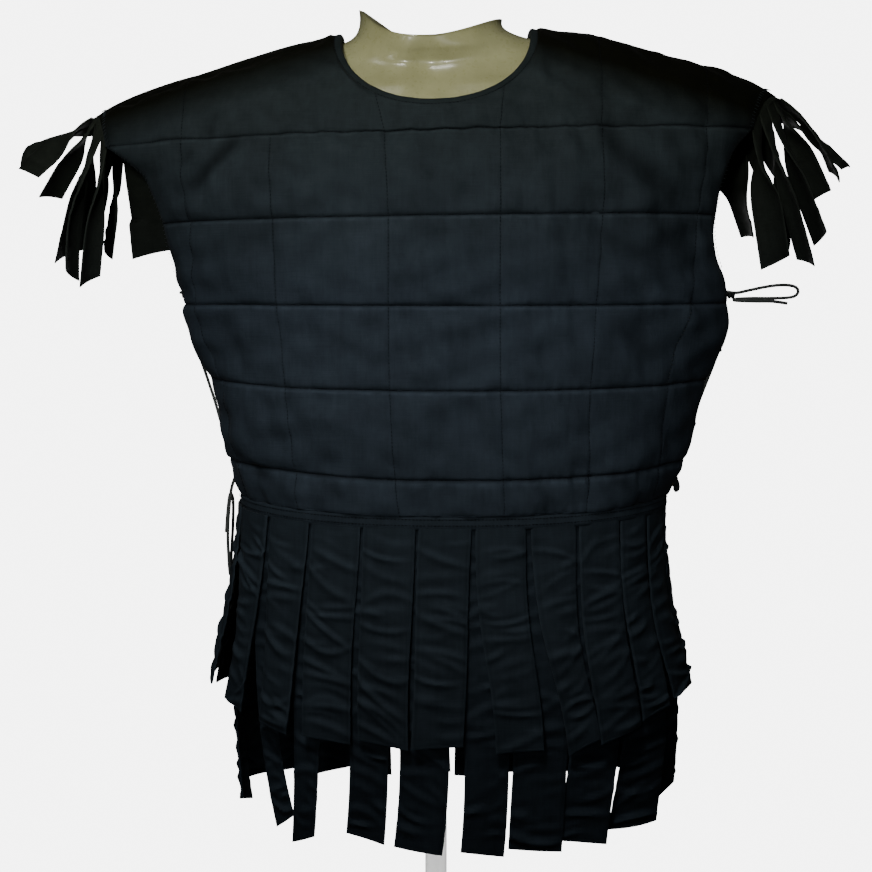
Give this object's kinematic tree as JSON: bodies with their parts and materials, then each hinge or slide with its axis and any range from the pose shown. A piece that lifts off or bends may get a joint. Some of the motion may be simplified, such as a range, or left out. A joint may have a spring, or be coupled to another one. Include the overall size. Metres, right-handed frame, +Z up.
{
  "type": "subarmalis on a dress form",
  "caption": "Quilted, padded arming garment with two tiers of hanging skirt straps, strapped shoulders and laced open sides, on a limbless torso form with a pole and round base.",
  "frame": {"origin": "centre of the round base plate's underside, on the floor", "axes": "+Z up; the garment's front faces -Y and its wearer's left side is at +X"},
  "size_m": [0.9012, 0.2975, 1.011],
  "materials": {
    "cotton": "very dark navy matt woven cotton, quilted over thin padding",
    "trim": "very dark navy matt cotton tape",
    "lace": "pale grey-blue matt cotton cord",
    "form": "glossy cream",
    "stand": "white paint, satin"
  },
  "bodies": {
    "root": {"front_panel": "cotton", "back_panel": "cotton", "neck_binding": "trim", "front_skirt_band": "trim", "back_skirt_band": "trim", "shoulder_straps_right": "cotton", "shoulder_straps_left": "cotton", "lace_right": "lace", "lace_left": "lace", "torso_form": "form", "stand_pole": "stand", "stand_base": "stand", "upper_strap_front_01": "cotton", "upper_strap_front_02": "cotton", "upper_strap_front_03": "cotton", "upper_strap_front_04": "cotton", "upper_strap_front_05": "cotton", "upper_strap_front_06": "cotton", "upper_strap_front_07": "cotton", "upper_strap_front_08": "cotton", "upper_strap_front_09": "cotton", "upper_strap_front_10": "cotton", "upper_strap_front_11": "cotton", "upper_strap_back_01": "cotton", "upper_strap_back_02": "cotton", "upper_strap_back_03": "cotton", "upper_strap_back_04": "cotton", "upper_strap_back_05": "cotton", "upper_strap_back_06": "cotton", "upper_strap_back_07": "cotton", "upper_strap_back_08": "cotton", "upper_strap_back_09": "cotton", "upper_strap_back_10": "cotton", "upper_strap_back_11": "cotton", "lower_strap_front_01": "cotton", "lower_strap_front_02": "cotton", "lower_strap_front_03": "cotton", "lower_strap_front_04": "cotton", "lower_strap_front_05": "cotton", "lower_strap_front_06": "cotton", "lower_strap_front_07": "cotton", "lower_strap_front_08": "cotton", "lower_strap_front_09": "cotton", "lower_strap_front_10": "cotton", "lower_strap_back_01": "cotton", "lower_strap_back_02": "cotton", "lower_strap_back_03": "cotton", "lower_strap_back_04": "cotton", "lower_strap_back_05": "cotton", "lower_strap_back_06": "cotton", "lower_strap_back_07": "cotton", "lower_strap_back_08": "cotton", "lower_strap_back_09": "cotton", "lower_strap_back_10": "cotton"}
  },
  "joints": []
}
